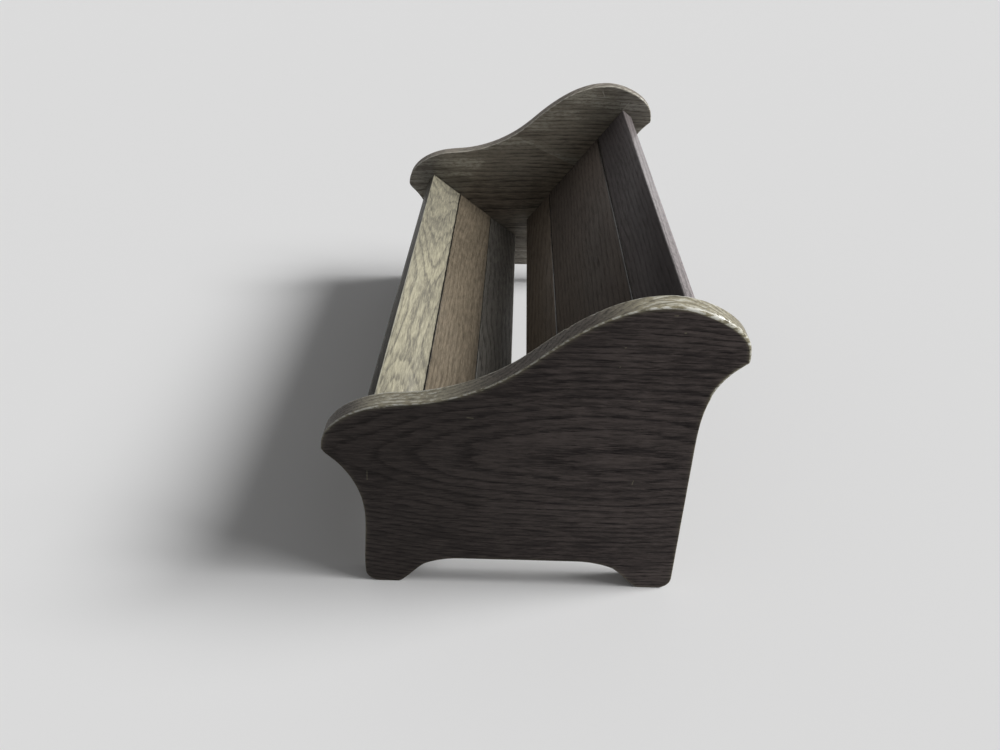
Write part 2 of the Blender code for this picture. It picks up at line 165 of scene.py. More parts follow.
def outputs_of(made):
    """All outputs of a node as values, by name."""
    return {socket.name: Value(socket) for socket in made.outputs}


# %% Arithmetic with values
def calculate(operation, *values, kind="ShaderNodeMath", output=0, **settings):
    """The result of a Math node, in the tree of the values that it takes."""
    tree = next(value.tree for value in values if isinstance(value, Value))
    return node(tree, kind, dict(enumerate(values)), output, operation=operation, **settings)


def larger(first, *others):
    """The largest of several values."""
    for other in others:
        first = calculate("MAXIMUM", first, other)
    return first


def smaller(one, other):
    """The smaller of two values."""
    return calculate("MINIMUM", one, other)


def vectors(operation, *values):
    """The result of a Vector Math node."""
    output = "Value" if operation in ("LENGTH", "DOT_PRODUCT") else "Vector"
    return calculate(operation, *values, kind="ShaderNodeVectorMath", output=output)


def combine(tree, x, y, z):
    """A vector of three numbers."""
    return node(tree, "ShaderNodeCombineXYZ", {"X": x, "Y": y, "Z": z})


def split(place):
    """The three numbers of a vector, by the names X, Y and Z."""
    return outputs_of(add_node(place.tree, "ShaderNodeSeparateXYZ", {0: place}))


# %% Groups with named inputs
SOCKET_TYPES = {float: "NodeSocketFloat", int: "NodeSocketInt", tuple: "NodeSocketVector"}


def new_group(kind, name, inputs, outputs):
    """An empty node group. An input is given by its starting value, or by its type where it has none.
    Returns the tree, its inputs as values by name, and the node that takes its outputs."""
    tree = bpy.data.node_groups.new(name, kind)
    for label, given in inputs.items():
        socket_type = SOCKET_TYPES.get(type(given), given)
        socket = tree.interface.new_socket(label, in_out="INPUT", socket_type=socket_type)
        if socket_type != given:
            socket.default_value = given
    for label, socket_type in outputs.items():
        tree.interface.new_socket(label, in_out="OUTPUT", socket_type=socket_type)
    return tree, outputs_of(tree.nodes.new("NodeGroupInput")), tree.nodes.new("NodeGroupOutput")


print("node helpers ready")

# %% [markdown]
# ## The figure of oak
# Oak shows three things at arm's length. Growth rings make the broad figure: where a board is sawn flat
# through the log, the rings come out as long ellipses and arches. Each ring starts with a band of large open
# pores, which stain and dirt fill, so they read as dark dashes along the grain. Finer fibres streak the wood
# between them.
#
# A picture of wood would stop at the edge of a face. Here the log itself is described: every point asks how
# far it lies from the pith, the centre of the tree. The figure then runs round an edge and into the end grain
# as it does in a real board. The group works in grain space: X along the grain, Y and Z across it.


# %% Oak figure group
def noise(place, stretch, detail=2.0, roughness=0.5, output="Fac"):
    """Noise at a place, with cells per metre given for each direction."""
    scaled = vectors("MULTIPLY", place, stretch)
    sockets = {"Vector": scaled, "Scale": 1.0, "Detail": detail, "Roughness": roughness}
    return node(place.tree, "ShaderNodeTexNoise", sockets, output)


def ramp(value, stops):
    """A value run through a ramp of (position, level) stops."""
    made = add_node(value.tree, "ShaderNodeValToRGB", {"Fac": value})
    points = made.color_ramp.elements
    while len(points) < len(stops):
        points.new(0.5)
    for point, (position, level) in zip(points, stops):
        point.position = position
        point.color = (level, level, level, 1)
    return Value(made.outputs["Color"])


def oak_figure():
    """The node group that turns a place in a log into rings, pores, fibres and slow patches."""
    inputs = {"Place": "NodeSocketVector", "Pith": (0, 0.01, -0.05), "Taper": 0.05, "Bow": 0.0,
              "Ring width": 0.004, "Waviness": 0.01, "Streak width": 0.0007, "Streak length": 0.015}
    names = ("Early wood", "Pores", "Fibres", "Patches", "Height")
    outputs = {name: "NodeSocketFloat" for name in names}
    tree, given, result = new_group("ShaderNodeTree", "oak figure", inputs, outputs)
    place = given["Place"]
    wander = vectors("SUBTRACT", noise(place, (6, 22, 22), output="Color"), (0.5, 0.5, 0.5))
    scaled = {0: wander, "Scale": given["Waviness"]}
    wander = node(tree, "ShaderNodeVectorMath", scaled, operation="SCALE")
    bent = vectors("ADD", vectors("SUBTRACT", place, given["Pith"]), wander)
    reach = vectors("LENGTH", vectors("MULTIPLY", bent, (0, 1, 1)))
    along = split(bent)["X"]
    lean = along * along * given["Bow"] - along * given["Taper"]
    count = (reach + lean) / given["Ring width"] + noise(place, (20, 420, 420), 3.0) * 0.7
    ring = calculate("FRACT", count)
    early = ramp(ring, [(0, 0.9), (0.06, 1), (0.34, 0.3), (0.7, 0.0), (0.92, 0.1), (1, 0.9)])
    across, length = 1.0 / given["Streak width"], 1.0 / given["Streak length"]
    streaks = noise(place, combine(tree, length, across, across), 4.0, 0.62)
    pores = ramp(streaks + early * 0.13, [(0.54, 0), (0.70, 1)])
    fibres = noise(place, (80, 620, 620), 4.0, 0.72)
    patches = noise(place, (9, 34, 34), 3.0, 0.6)
    fill(result, dict(zip(names, (early, pores, fibres, patches, fibres * 0.3 - pores))))
    return tree


OAK_FIGURE = oak_figure()
print("oak figure:", len(OAK_FIGURE.nodes), "nodes")

# %% [markdown]
# ## The wood of each piece
# Old fumed oak is dark where it was left alone and pale where hands and books have rubbed it. The pores stay
# dark, because rubbing doesn't reach them, and dirt stays in the seams. Some places are also painted lighter
# or darker as light and shade. So a board's colour is built in that order: the ring colours, then patches,
# then rubbed places with the painted light, and the pores over all of it; last come dirt and painted shade.
#
# Each piece is given its grain as a frame of its own. A Mapping node of the Texture kind undoes a move and a
# turn, so it takes a point of the room back into that frame.


# %% Parts of a material
def new_material(name):
    """A material, with its tree and its Principled shader."""
    material = bpy.data.materials.new(name)
    material.use_nodes = True
    return material, material.node_tree, material.node_tree.nodes["Principled BSDF"]


def grain_place(tree, grain):
    """The place of a shaded point in the frame of a piece's grain."""
    room = node(tree, "ShaderNodeTexCoord", output="Object")
    sockets = {"Vector": room, "Location": grain.to_translation(), "Rotation": grain.to_euler()}
    return node(tree, "ShaderNodeMapping", sockets, vector_type="TEXTURE")


def mix(share, first, second):
    """A colour between two others."""
    sockets = {"Factor": share, 6: first, 7: second}
    return node(share.tree, "ShaderNodeMix", sockets, 2, data_type="RGBA", clamp_factor=True)


def bumps(height, strength, distance):
    """The direction of a surface that has small heights on it."""
    sockets = {"Strength": strength, "Distance": distance, "Height": height}
    return node(height.tree, "ShaderNodeBump", sockets)


def shade(colour, level):
    """A colour made darker or lighter, with full opacity."""
    return (*[level * part for part in colour[:3]], 1)


# %% Oak material
# The dark colour of dirt, also used for painted shade.
DIRT_AND_SHADE = (0.013, 0.011, 0.009, 1)


def oak(name, grain, wood, wear_and_light, dirt_and_shade):
    """Waxed old oak. wood gives its colours and the inputs of its figure; the last two arguments are functions
    of
    a place: where it is paler from wear and painted light, and where it is darker from dirt and painted shade."""
    dark, light, worn = wood["dark"], wood["light"], wood["worn"]
    material, tree, shader = new_material(name)
    place = grain_place(tree, grain)
    log = {"Place": place, **wood["log"]}
    seen = outputs_of(add_node(tree, "ShaderNodeGroup", log, node_tree=OAK_FIGURE))
    early, pores, fibres = seen["Early wood"], seen["Pores"], seen["Fibres"]
    colour = mix(early * wood.get("banding", 0.6), shade(light, 1), shade(dark, 1))
    tone = ramp(seen["Patches"], [(0.35, 0.0), (0.65, 1.0)])
    colour = mix(tone * wood.get("patchiness", 0.5), colour, shade(dark, 0.85))
    depth = wood.get("fibre_depth", 0.5)
    colour = mix(ramp(fibres, [(0.47, 0.0), (0.68, 1.0)]) * depth, colour, shade(light, 1.4))
    broken = ramp(noise(place, (220, 700, 700), 4.0, 0.65), [(0.34, 0.6), (0.54, 1.0)])
    # Paler where worn; on the ends and on the top edge of the back this share also carries painted light.
    wear = calculate("MULTIPLY", wear_and_light(place), broken * (1.0 - early * 0.25), use_clamp=True)
    colour = mix(wear, colour, shade(worn, 1))
    bare = shade(wood.get("bare", shade(worn, 1.3)), 1)
    colour = mix(ramp(wear, [(0.7, 0.0), (0.95, 1.0)]), colour, bare)
    dark_fibres = ramp(fibres, [(0.32, 1.0), (0.50, 0.0)]) * (1.0 - wear * 0.7)
    colour = mix(dark_fibres * (0.65 * depth), colour, shade(dark, 0.9))
    faint = larger(wear * 0.88, tone * 0.4)
    colour = mix(pores * ((1.0 - faint) * wood["pore_depth"]), colour, shade(dark, 0.45))
    # Dirt and painted shade darken the colour last.
    colour = mix(dirt_and_shade(place), colour, DIRT_AND_SHADE)
    waxed = pores * 0.2 + wood.get("roughness", 0.55)
    fill(shader, {
        "Base Color": colour,
        "Roughness": calculate("ADD", waxed, tone * 0.08, use_clamp=True),
        "Specular IOR Level": 0.12,
        "Coat Weight": wear * 0.9,
        "Coat Roughness": 0.22,
        "Normal": bumps(seen["Height"], 0.5, 0.00025),
    })
    return material


# %% [markdown]
# ## Where boards wear and where dirt stays
# On a strip the places to treat follow from its section. The distance to an arris, the long sharp edge, is
# the larger of two distances: to the nearer side and to the nearer face. Near zero the wood is rubbed. In a
# seam the same distance says where dirt has settled.


# %% Distances on a strip
def fade(distance, start, stop):
    """One up to a distance of start, nothing past stop."""
    sockets = {"Value": distance, "From Min": start, "From Max": stop, "To Min": 1.0, "To Max": 0.0}
    return node(distance.tree, "ShaderNodeMapRange", sockets, interpolation_type="SMOOTHSTEP")


def face_distance(where):
    """How deep a point lies under the nearer face of its strip."""
    return abs(smaller(-where["Z"], where["Z"] + BOARD_THICKNESS))


def arris_distance(place, width):
    """How far a point of a strip's surface is from the nearest of its long arrises."""
    where = split(place)
    side = abs(smaller(where["Y"], width - where["Y"]))
    return larger(side, face_distance(where))


print("oak helpers ready")

# %% [markdown]
# ## The strips
# A tongue and groove strip is one section drawn out along its length, as a moulding plane leaves it. That is a
# rule, so a Geometry Nodes tree makes all six: a line of twelve points takes the corners of the section, is
# closed and filled, and the face is extruded. A groove and a tongue are the same four corners with the step
# inwards or outwards, so one number, the joint's depth, is positive for a groove and negative for a tongue.

# %% Corners of a joint
TONGUE_HEIGHT = 0.0032
GROOVE_HEIGHT = 0.0038
SAME_PLACE = 0.00001


def joint_corners(edge, depth, middle, half_height):
    """Four corners of a groove or tongue, from its upper lip to its lower one."""
    inner = edge - depth
    upper, lower = middle + half_height, middle - half_height
    return [(edge, upper), (inner, upper), (inner, lower), (edge, lower)]


def then(geometry, kind, sockets=None, **settings):
    """Hand geometry to the next node of a chain, as its first input, and return what comes out."""
    return node(geometry.tree, "GeometryNode" + kind, {0: geometry, **(sockets or {})}, **settings)


def by_index(tree, data_type, values):
    """One of several values, chosen by the index of a point."""
    index = {"Index": node(tree, "GeometryNodeInputIndex")}
    made = add_node(tree, "GeometryNodeIndexSwitch", index, data_type=data_type)
    while len(made.index_switch_items) < len(values):
        made.index_switch_items.new()
    fill(made, dict(enumerate(values, 1)))
    return Value(made.outputs[0])


# %% Strip tree
def strip_tree():
    """A strip along X, its face at height zero and its low side at Y zero."""
    inputs = {"Width": 0.03, "Thickness": BOARD_THICKNESS, "Length": 0.37, "Low joint depth": 0.0,
              "High joint depth": 0.0, "Joint height": TONGUE_HEIGHT, "Wood": "NodeSocketMaterial"}
    outputs = {"Strip": "NodeSocketGeometry"}
    tree, size, result = new_group("GeometryNodeTree", "tongue and groove strip", inputs, outputs)
    width, bottom, middle = size["Width"], size["Thickness"] * -1.0, size["Thickness"] * -0.5
    half_height = size["Joint height"] * 0.5
    corners = [(0.0, 0.0), (width, 0.0)]
    corners += joint_corners(width, size["High joint depth"], middle, half_height)
    corners += [(width, bottom), (0.0, bottom)]
    corners += reversed(joint_corners(0.0, -size["Low joint depth"], middle, half_height))
    place = by_index(tree, "VECTOR", [combine(tree, across, off, 0.0) for across, off in corners])
    line = node(tree, "GeometryNodeMeshLine", {"Count": len(corners)})
    curve = then(then(line, "SetPosition", {"Position": place}), "MeshToCurve")
    section = then(then(curve, "SetSplineCyclic", {"Cyclic": True}), "FillCurve", mode="NGONS")
    drawn = {"Offset": (0, 0, 1), "Offset Scale": size["Length"]}
    whole = add_node(tree, "GeometryNodeJoinGeometry")
    fill(whole, {0: then(section, "ExtrudeMesh", drawn, mode="FACES")})
    fill(whole, {0: then(section, "FlipFaces")})
    strip = then(Value(whole.outputs[0]), "MergeByDistance", {"Distance": SAME_PLACE})
    start = combine(tree, size["Length"] * -0.5, 0.0, 0.0)
    laid = {"Translation": start, "Rotation": (math.pi / 2, 0, math.pi / 2)}
    strip = then(then(strip, "Transform", laid), "SetMaterial", {"Material": size["Wood"]})
    fill(result, {0: strip})
    return tree


STRIP_TREE = strip_tree()
print("strip tree:", len(STRIP_TREE.nodes), "nodes")


# %% Running a tree and settling a piece
def add_object(name, data):
    """A new object in the scene, for a mesh, a lamp or a camera."""
    item = bpy.data.objects.new(name, data)
    bpy.context.scene.collection.objects.link(item)
    return item


def run_tree(name, tree, values, mesh=None):
    """An object with a Geometry Nodes modifier whose named inputs are set by their identifiers."""
    item = add_object(name, mesh or bpy.data.meshes.new(name))
    modifier = item.modifiers.new(tree.name, "NODES")
    modifier.node_group = tree
    inputs = {s.name: s.identifier for s in tree.interface.items_tree if s.in_out == "INPUT"}
    for label, value in values.items():
        modifier[inputs[label]] = value
    return item


def settle(name, source, place, *extras):
    """A plain mesh of a source as its modifiers make it, put in its place, with the object at the origin."""
    bpy.context.view_layer.update()
    depsgraph = bpy.context.evaluated_depsgraph_get()
    mesh = bpy.data.meshes.new_from_object(source.evaluated_get(depsgraph))
    mesh.transform(place)
    mesh.name = name
    for item in (source, *extras):
        bpy.data.objects.remove(item)
    return add_object(name, mesh)


def hand_over(piece, body, nodes, sharp=None):
    """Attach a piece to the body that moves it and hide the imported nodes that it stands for. Edges that turn
    by more than sharp degrees stay sharp, and the rest are shaded smoothly."""
    if sharp:
        piece.data.shade_smooth()
        piece.data.set_sharp_from_angle(angle=math.radians(sharp))
    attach(piece, body)
    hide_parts(*nodes)


# %% [markdown]
# ## Holes for dowels and screws
# Every strip is held by hidden pegs: round dowels run from its seated end into the end board, and the cleats
# underneath are screwed to it. The holes are drilled here as a joiner drills them, by taking a slightly
# larger peg out of both pieces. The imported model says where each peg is, so its box or its points give the
# centre, and nothing is measured twice.


# %% Round bodies
def mesh_from(name, shell):
    """A mesh made of a bmesh, which is then let go."""
    mesh = bpy.data.meshes.new(name)
    shell.to_mesh(mesh)
    shell.free()
    return mesh


def bridge(shell, loops):
    """Faces between neighbouring closed loops of points."""
    for one, other in zip(loops, loops[1:]):
        for step in range(len(one)):
            after = (step + 1) % len(one)
            shell.faces.new((one[step], one[after], other[after], other[step]))


def turned(profile, place, sides=24):
    """A round body about Z from (radius, height) rings, closed at both ends, as a bmesh."""
    shell = bmesh.new()
    spokes = [2 * math.pi * step / sides for step in range(sides)]
    rings = [[shell.verts.new((radius * math.cos(a), radius * math.sin(a), height)) for a in spokes]
             for radius, height in profile]
    bridge(shell, rings)
    shell.faces.new(reversed(rings[0]))
    shell.faces.new(rings[-1])
    shell.transform(place)
    return shell


def joined(name, shells):
    """One hidden object made of several closed bodies that don't touch."""
    everything = bmesh.new()
    for shell in shells:
        everything.from_mesh(mesh_from(name + "_part", shell))
    item = add_object(name, mesh_from(name, everything))
    item.hide_render = True
    return item


# %% Drills
SCREW_HEAD = 0.0056
SCREW_SHANK = 0.0028
SCREW_LENGTH = 0.0159
SCREW_POINT = 0.0035
DRILL_ABOVE = 0.002
DRILL_TIP = 0.0002
ALONG_X = Matrix.Rotation(math.pi / 2, 4, "Y")


def dowel_drill(name):
    """A drill for the dowel of a node, a little longer and wider than it."""
    low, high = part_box(name)
    radius = (high.z - low.z) / 2 + SEAT_GAP
    half = (high.x - low.x) / 2 + SEAT_GAP
    return turned([(radius, -half), (radius, half)], Matrix.Translation((low + high) / 2) @ ALONG_X)


def box_on_board(name, board):
    """The two corners of a node's box in the frame of its board."""
    places = np.array([board.inverted() @ v.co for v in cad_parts[name].data.vertices])
    return Vector(places.min(axis=0)), Vector(places.max(axis=0))


def screw_seat(name, board):
    """The frame of a screw: Z runs from its head, which lies at zero, towards its point."""
    low, high = box_on_board(name, board)
    return board @ Matrix.Translation(((low.x + high.x) / 2, (low.y + high.y) / 2, low.z))


def screw_drill(seat):
    """A countersunk drill for a screw at its seat."""
    head, shank = SCREW_HEAD / 2 + SEAT_GAP, SCREW_SHANK / 2 + SEAT_GAP
    depth = (SCREW_HEAD - SCREW_SHANK) / 2
    shaft = [(shank, depth), (shank, SCREW_LENGTH - SCREW_POINT), (DRILL_TIP, SCREW_LENGTH)]
    return turned([(head, -DRILL_ABOVE), (head, 0), *shaft], seat)


# %% Finishing a board
SHARP_TURN = 50


def ease(piece, width, segments):
    """Round the long arrises of a piece, and let the broad faces keep their own shading."""
    bevel = piece.modifiers.new("eased arrises", "BEVEL")
    bevel.width = width
    bevel.segments = segments
    bevel.limit_method = "ANGLE"
    bevel.angle_limit = math.radians(SHARP_TURN)
    bevel.harden_normals = True


def cut(piece, cutter):
    """Take a cutter out of a piece."""
    boolean = piece.modifiers.new(cutter.name, "BOOLEAN")
    boolean.operation = "DIFFERENCE"
    boolean.solver = "EXACT"
    boolean.object = cutter


def measured(piece):
    """The volume inside a mesh in cubic centimetres, negative if it is inside out, and its open edges."""
    shell = bmesh.new()
    shell.from_mesh(piece.data)
    volume = shell.calc_volume(signed=True) * 1e6
    open_edges = sum(not edge.is_manifold for edge in shell.edges)
    shell.free()
    return round(volume, 2), open_edges


def miss(piece, name):
    """How far a piece's box differs from the box of the node that it stands for, in millimetres."""
    places = np.array([v.co for v in piece.data.vertices])
    low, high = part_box(name)
    return round(1000 * max(abs(places.min(axis=0) - low).max(), abs(places.max(axis=0) - high).max()), 3)


def finish_board(name, source, place, drills, body, sharp=SHARP_TURN):
    """Drill a board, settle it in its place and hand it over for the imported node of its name."""
    cutter = joined(name + "_drills", drills)
    cut(source, cutter)
    piece = settle("oak_" + name, source, place, cutter)
    hand_over(piece, body, [name], sharp)
    print(name, "volume and open edges:", measured(piece), "box differs by mm:", miss(piece, name))


NODES = sorted(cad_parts)
print("dowels:", sum("dowel" in n for n in NODES), " screws:", sum("screw" in n for n in NODES))

# %% [markdown]
# ## Making the six strips
# The cutting list says where a strip starts across its board, how wide it is, which sides are jointed, and
# which half of the slide it belongs to. Both boards follow one rule: a grooved outer strip, a middle one with
# two tongues, and another outer one. The table after it is their wood. The front strip of the shelf is the
# palest, because books and hands slide over it, and it was sawn so flat that its rings come out as flames. The
# strips of the back lie in the shade of the books and stay nearly black.

# %% Cutting list
GROOVE = 0.0038
TONGUE = -0.0035
SHELF_OUTER, SHELF_MIDDLE = 0.0302, 0.0360
BACK_OUTER, BACK_MIDDLE = 0.0329, 0.0662
BODY_OF_SIDE = {1: "right_half", -1: "left_half"}
STRIPS = {}
for board_name, board, strip_names, outer, middle in (
    ("shelf", SHELF, ("front", "middle", "rear"), SHELF_OUTER, SHELF_MIDDLE),
    ("back", BACK, ("lower", "middle", "upper"), BACK_OUTER, BACK_MIDDLE),
):
    starts = (0.0, outer + SEAT_GAP, outer + middle + 2 * SEAT_GAP)
    widths = (outer, middle, outer)
    joints = ((0.0, GROOVE), (TONGUE, TONGUE), (GROOVE, 0.0))
    for strip_name, low, width, pair, side in zip(strip_names, starts, widths, joints, (1, -1, 1)):
        entry = dict(board=board, low=low, width=width, joints=pair, side=side)
        STRIPS[f"{board_name}_{strip_name}_strip"] = entry
        print(board_name, strip_name, "strip: mm from", [round(1000 * at, 1) for at in (low, low + width)])

# %% Wood of the strips
# In this table the front edge of the shelf, a band along the rear of its middle strip and the left part of its
# front two strips are darkened as painted shade, and the top edge of the back is paler from wear and a painted
# sheen.
WOODS = {
    "shelf_front_strip": dict(
        slot="oak_shelf_pale", dark=(0.165, 0.152, 0.126), light=(0.475, 0.437, 0.310), worn=(0.58, 0.56, 0.44),
        general=0.2, pore_depth=0.4, banding=0.8, fibre_depth=0.6, patchiness=0.8, shaded_front_edge=0.93,
        shade_towards_left_end=0.18, log={"Pith": (0.03, 0.017, -0.022), "Taper": -0.01, "Bow": -0.55, "Ring width": 0.0034,
                           "Waviness": 0.022, "Streak length": 0.010}),
    "shelf_middle_strip": dict(
        slot="oak_shelf", dark=(0.082, 0.064, 0.043), light=(0.246, 0.200, 0.142), worn=(0.34, 0.29, 0.21),
        general=0.15, pore_depth=0.35, banding=0.25, fibre_depth=0.7, patchiness=0.6, shaded_rear_band=0.3,
        shade_towards_left_end=0.16, seams=(1, 0.8), log={"Pith": (0.0, 0.060, -0.060), "Taper": 0.01, "Ring width": 0.0024,
                                           "Waviness": 0.012, "Streak width": 0.0005, "Streak length": 0.007}),
    "shelf_rear_strip": dict(
        slot="oak_shelf_dark", dark=(0.053, 0.049, 0.044), light=(0.138, 0.127, 0.110), worn=(0.28, 0.27, 0.23),
        general=0.05, pore_depth=0.6, banding=0.4, patchiness=0.7, seams=(0.8, 1),
        log={"Pith": (0.1, -0.030, -0.045), "Taper": 0.03, "Ring width": 0.0028, "Waviness": 0.014,
             "Streak length": 0.012}),
    "back_lower_strip": dict(
        slot="oak_back", dark=(0.034, 0.026, 0.019), light=(0.094, 0.074, 0.056), worn=(0.17, 0.14, 0.11),
        general=0.03, pore_depth=0.4, banding=0.4, fibre_depth=0.35,
        log={"Pith": (0.0, 0.050, -0.040), "Taper": 0.03, "Ring width": 0.0028, "Waviness": 0.007,
             "Streak length": 0.018}),
    "back_middle_strip": dict(
        slot="oak_back", dark=(0.026, 0.021, 0.017), light=(0.070, 0.056, 0.047), worn=(0.17, 0.145, 0.12),
        general=0.03, pore_depth=0.4, banding=0.4, fibre_depth=0.35, seams=(1, 1.5),
        log={"Pith": (0.0, 0.100, -0.050), "Taper": 0.02, "Ring width": 0.0030, "Waviness": 0.010,
             "Streak length": 0.018}),
    "back_upper_strip": dict(
        slot="oak_back", dark=(0.024, 0.020, 0.020), light=(0.056, 0.048, 0.048), worn=(0.21, 0.185, 0.185),
        general=0.02, pore_depth=0.3, banding=0.35, fibre_depth=0.3, worn_and_lit_edge=0.95, seams=(1.5, 1),
        log={"Pith": (0.1, -0.040, -0.055), "Taper": 0.01, "Ring width": 0.0026, "Waviness": 0.006,
             "Streak width": 0.0005, "Streak length": 0.016}),
}
print("woods:", len(WOODS))


# %% Wear, dirt, painted light and painted shade on a strip
SEAM_DARK, SEAM_CLEAN, SEAM_WANDER = 0.0009, 0.0019, 0.0016


def strip_wood(name, entry, wood):
    """The oak of a strip, with its grain along the slide."""
    width = entry["width"]

    def wear_and_light(place):
        near = fade(arris_distance(place, width), 0.0002, 0.0012)
        share = larger(near * 0.8, wood["general"])
        # The top edge of the back is paler: worn, and painted with the sheen of the light that falls on it.
        if "worn_and_lit_edge" in wood:
            beyond = width - split(place)["Y"]
            share = larger(share, fade(beyond, 0.0001, 0.0006) * wood["worn_and_lit_edge"])
        return share

    def dirt_and_shade(place):
        where = split(place)
        beyond = width - where["Y"]
        # Painted shade: the strip darkens within 5 mm of the end boards, in the corners where they meet.
        shares = [fade(INSIDE_HALF - abs(where["X"]), 0.0, 0.005) * 0.5]
        uneven = noise(place, (70, 70, 70), 3.0) * SEAM_WANDER
        shallow = fade(face_distance(where), 0.0010, 0.0024)
        for depth, reach, inwards in zip(entry["joints"], wood.get("seams", (1, 1)), (where["Y"], beyond)):
            if depth != 0:
                seam = fade(inwards + uneven, SEAM_DARK * reach, SEAM_CLEAN * reach)
                shares.append(seam * (shallow * min(1, reach)))
        # Painted shade: the front edge of the shelf, which faces away from the light, a band along the rear of
        # the middle strip, where the back's shadow begins, and the shelf towards the left end, which keeps light
        # off.
        shade_bands = {"shaded_front_edge": (where["Y"], 0.0, 0.0003), "shaded_rear_band": (beyond, 0.001, 0.007),
                  "shade_towards_left_end": (where["X"], -0.18, 0.12)}
        shares += [fade(*shade_band) * wood[kind] for kind, shade_band in shade_bands.items() if kind in wood]
        return larger(*shares)

    grain = entry["board"] @ Matrix.Translation((0, entry["low"], 0))
    return oak(name + "_oak", grain, wood, wear_and_light, dirt_and_shade)


# %% Strips from the list
STRIP_ARRIS = 0.0005


def pegs_of(name, peg):
    """The dowel or screw nodes that are named after a strip or a cleat."""
    start = name.rsplit("_", 1)[0] + "_" + peg
    return [n for n in NODES if n.startswith(start)]


def screws_into(name, entry):
    """The screw nodes that go into a strip, found by where they stand across its board."""
    board, low = entry["board"], entry["low"]
    kind = "keeper" if entry["side"] == 1 else "stop"
    screws = pegs_of(name.split("_")[0] + f"_{kind}_cleat", "screw")
    across = {screw: (board.inverted() @ screw_seat(screw, board).to_translation()).y for screw in screws}
    return [screw for screw in screws if low < across[screw] < low + entry["width"]]


def dowels_on(side):
    """The dowel nodes of the strips that belong to one half of the slide."""
    own = [name for name, entry in STRIPS.items() if entry["side"] == side]
    return [dowel for name in own for dowel in pegs_of(name, "dowel")]


def make_strip(name, entry, wood):
    """One strip with its joints, its holes and its wood."""
    low_depth, high_depth = entry["joints"]
    values = {
        "Width": entry["width"],
        "Thickness": BOARD_THICKNESS,
        "Length": 2 * INSIDE_HALF - SEAT_GAP - FREE_END_GAP,
        "Low joint depth": low_depth,
        "High joint depth": high_depth,
        "Joint height": TONGUE_HEIGHT if low_depth < 0 else GROOVE_HEIGHT,
        "Wood": strip_wood(name, entry, wood),
    }
    source = run_tree(name + "_source", STRIP_TREE, values)
    along = entry["side"] * (FREE_END_GAP - SEAT_GAP) / 2
    place = entry["board"] @ Matrix.Translation((along, entry["low"], 0))
    source.matrix_world = place
    ease(source, STRIP_ARRIS, 2)
    drills = [dowel_drill(dowel) for dowel in pegs_of(name, "dowel")]
    drills += [screw_drill(screw_seat(screw, entry["board"])) for screw in screws_into(name, entry)]
    finish_board(name, source, place, drills, BODY_OF_SIDE[entry["side"]])


for name, entry in STRIPS.items():
    make_strip(name, entry, WOODS[name])

# %% [markdown]
# ## The two ends
# Each end was cut from one wide board with a bow saw or a band saw, so its outline is one flowing line, and
# its arrises were rounded by hand and then by a century of handling. The outline is read from the imported end:
# the ring of edges where its rim meets the inner arris, taken in order. Long steps are then halved, and each
# new point lies on a curve through its neighbours, until no step is longer than wanted.
#
# The board is then lofted from rings. Each ring is the outline moved inwards and sideways a little, so the
# arris can be rounder where it is worn more. Three attributes are written on the way: how worn a point is, how
# far it belongs to the rim, and whether it is on the inner face. The first two also carry painted light: the
# worn line counts most on top and on the upper back, where light falls, and the rim counts most where it faces
# up and least where it faces the front, away from the light. The wood reads them later.


# %% Outline of an end
def packed_outline(name, ring_x):
    """The outline of a packed end as (y, z) rows in order, counter-clockwise."""
    shell = bmesh.new()
    shell.from_mesh(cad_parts[name].data)
    bmesh.ops.remove_doubles(shell, verts=shell.verts, dist=SAME_PLACE)
    ring = {}
    for edge in shell.edges:
        if all(abs(v.co.x - ring_x) < SAME_PLACE for v in edge.verts):
            first, second = edge.verts
            ring.setdefault(first, []).append(second)
            ring.setdefault(second, []).append(first)
    start = min(ring, key=lambda v: v.co.y)
    walk, before = [start], None
    while True:
        onward = [v for v in ring[walk[-1]] if v is not before and v is not walk[-1]]
        before = walk[-1]
        if not onward or onward[0] is start:
            break
        walk.append(onward[0])
    rows = np.array([(v.co.y, v.co.z) for v in walk])
    shell.free()
    following = np.roll(rows, -1, axis=0)
    area = (rows[:, 0] * following[:, 1] - following[:, 0] * rows[:, 1]).sum()
    return rows if area > 0 else rows[::-1]


def tangents(steps):
    """Unit vectors along some steps."""
    return steps / np.linalg.norm(steps, axis=1)[:, None]


def refined(rows, longest):
    """The same closed line with no step longer than given; new points lie on a curve through the old ones."""
    while True:
        after = np.roll(rows, -1, axis=0)
        step = np.linalg.norm(after - rows, axis=1)[:, None]
        if step.max() <= longest:
            return rows
        tangent = tangents(after - np.roll(rows, 1, axis=0))
        middle = (rows + after) / 2 + step / 8 * (tangent - np.roll(tangent, -1, axis=0))
        wanted = np.stack([step[:, 0] >= 0, step[:, 0] > longest], axis=1).reshape(-1)
        rows = np.stack([rows, middle], axis=1).reshape(-1, 2)[wanted]


END_ARRIS = 0.0007
OUTLINE_STEP = 0.0025
outline = refined(packed_outline("right_end", INSIDE_HALF + END_ARRIS), OUTLINE_STEP)
print("points on the outline of an end:", len(outline))

# %% Wear along the arrises
PLAIN_RADIUS, WOBBLE, TOP_WEAR, KNOCK = 0.00042, 0.00012, 0.00014, 0.0005
LEAST_RADIUS, MOST_RADIUS, NICK_RADIUS = 0.0003, 0.0022, 0.0014
SHOULDER_Y, SHOULDER_Z, SHOULDER_REACH = 0.092, 0.14, 0.022


def inward_normals(rows):
    """Unit vectors that point into the board from each point of its outline."""
    tangent = tangents(np.roll(rows, -1, axis=0) - np.roll(rows, 1, axis=0))
    return np.stack([-tangent[:, 1], tangent[:, 0]], axis=1)


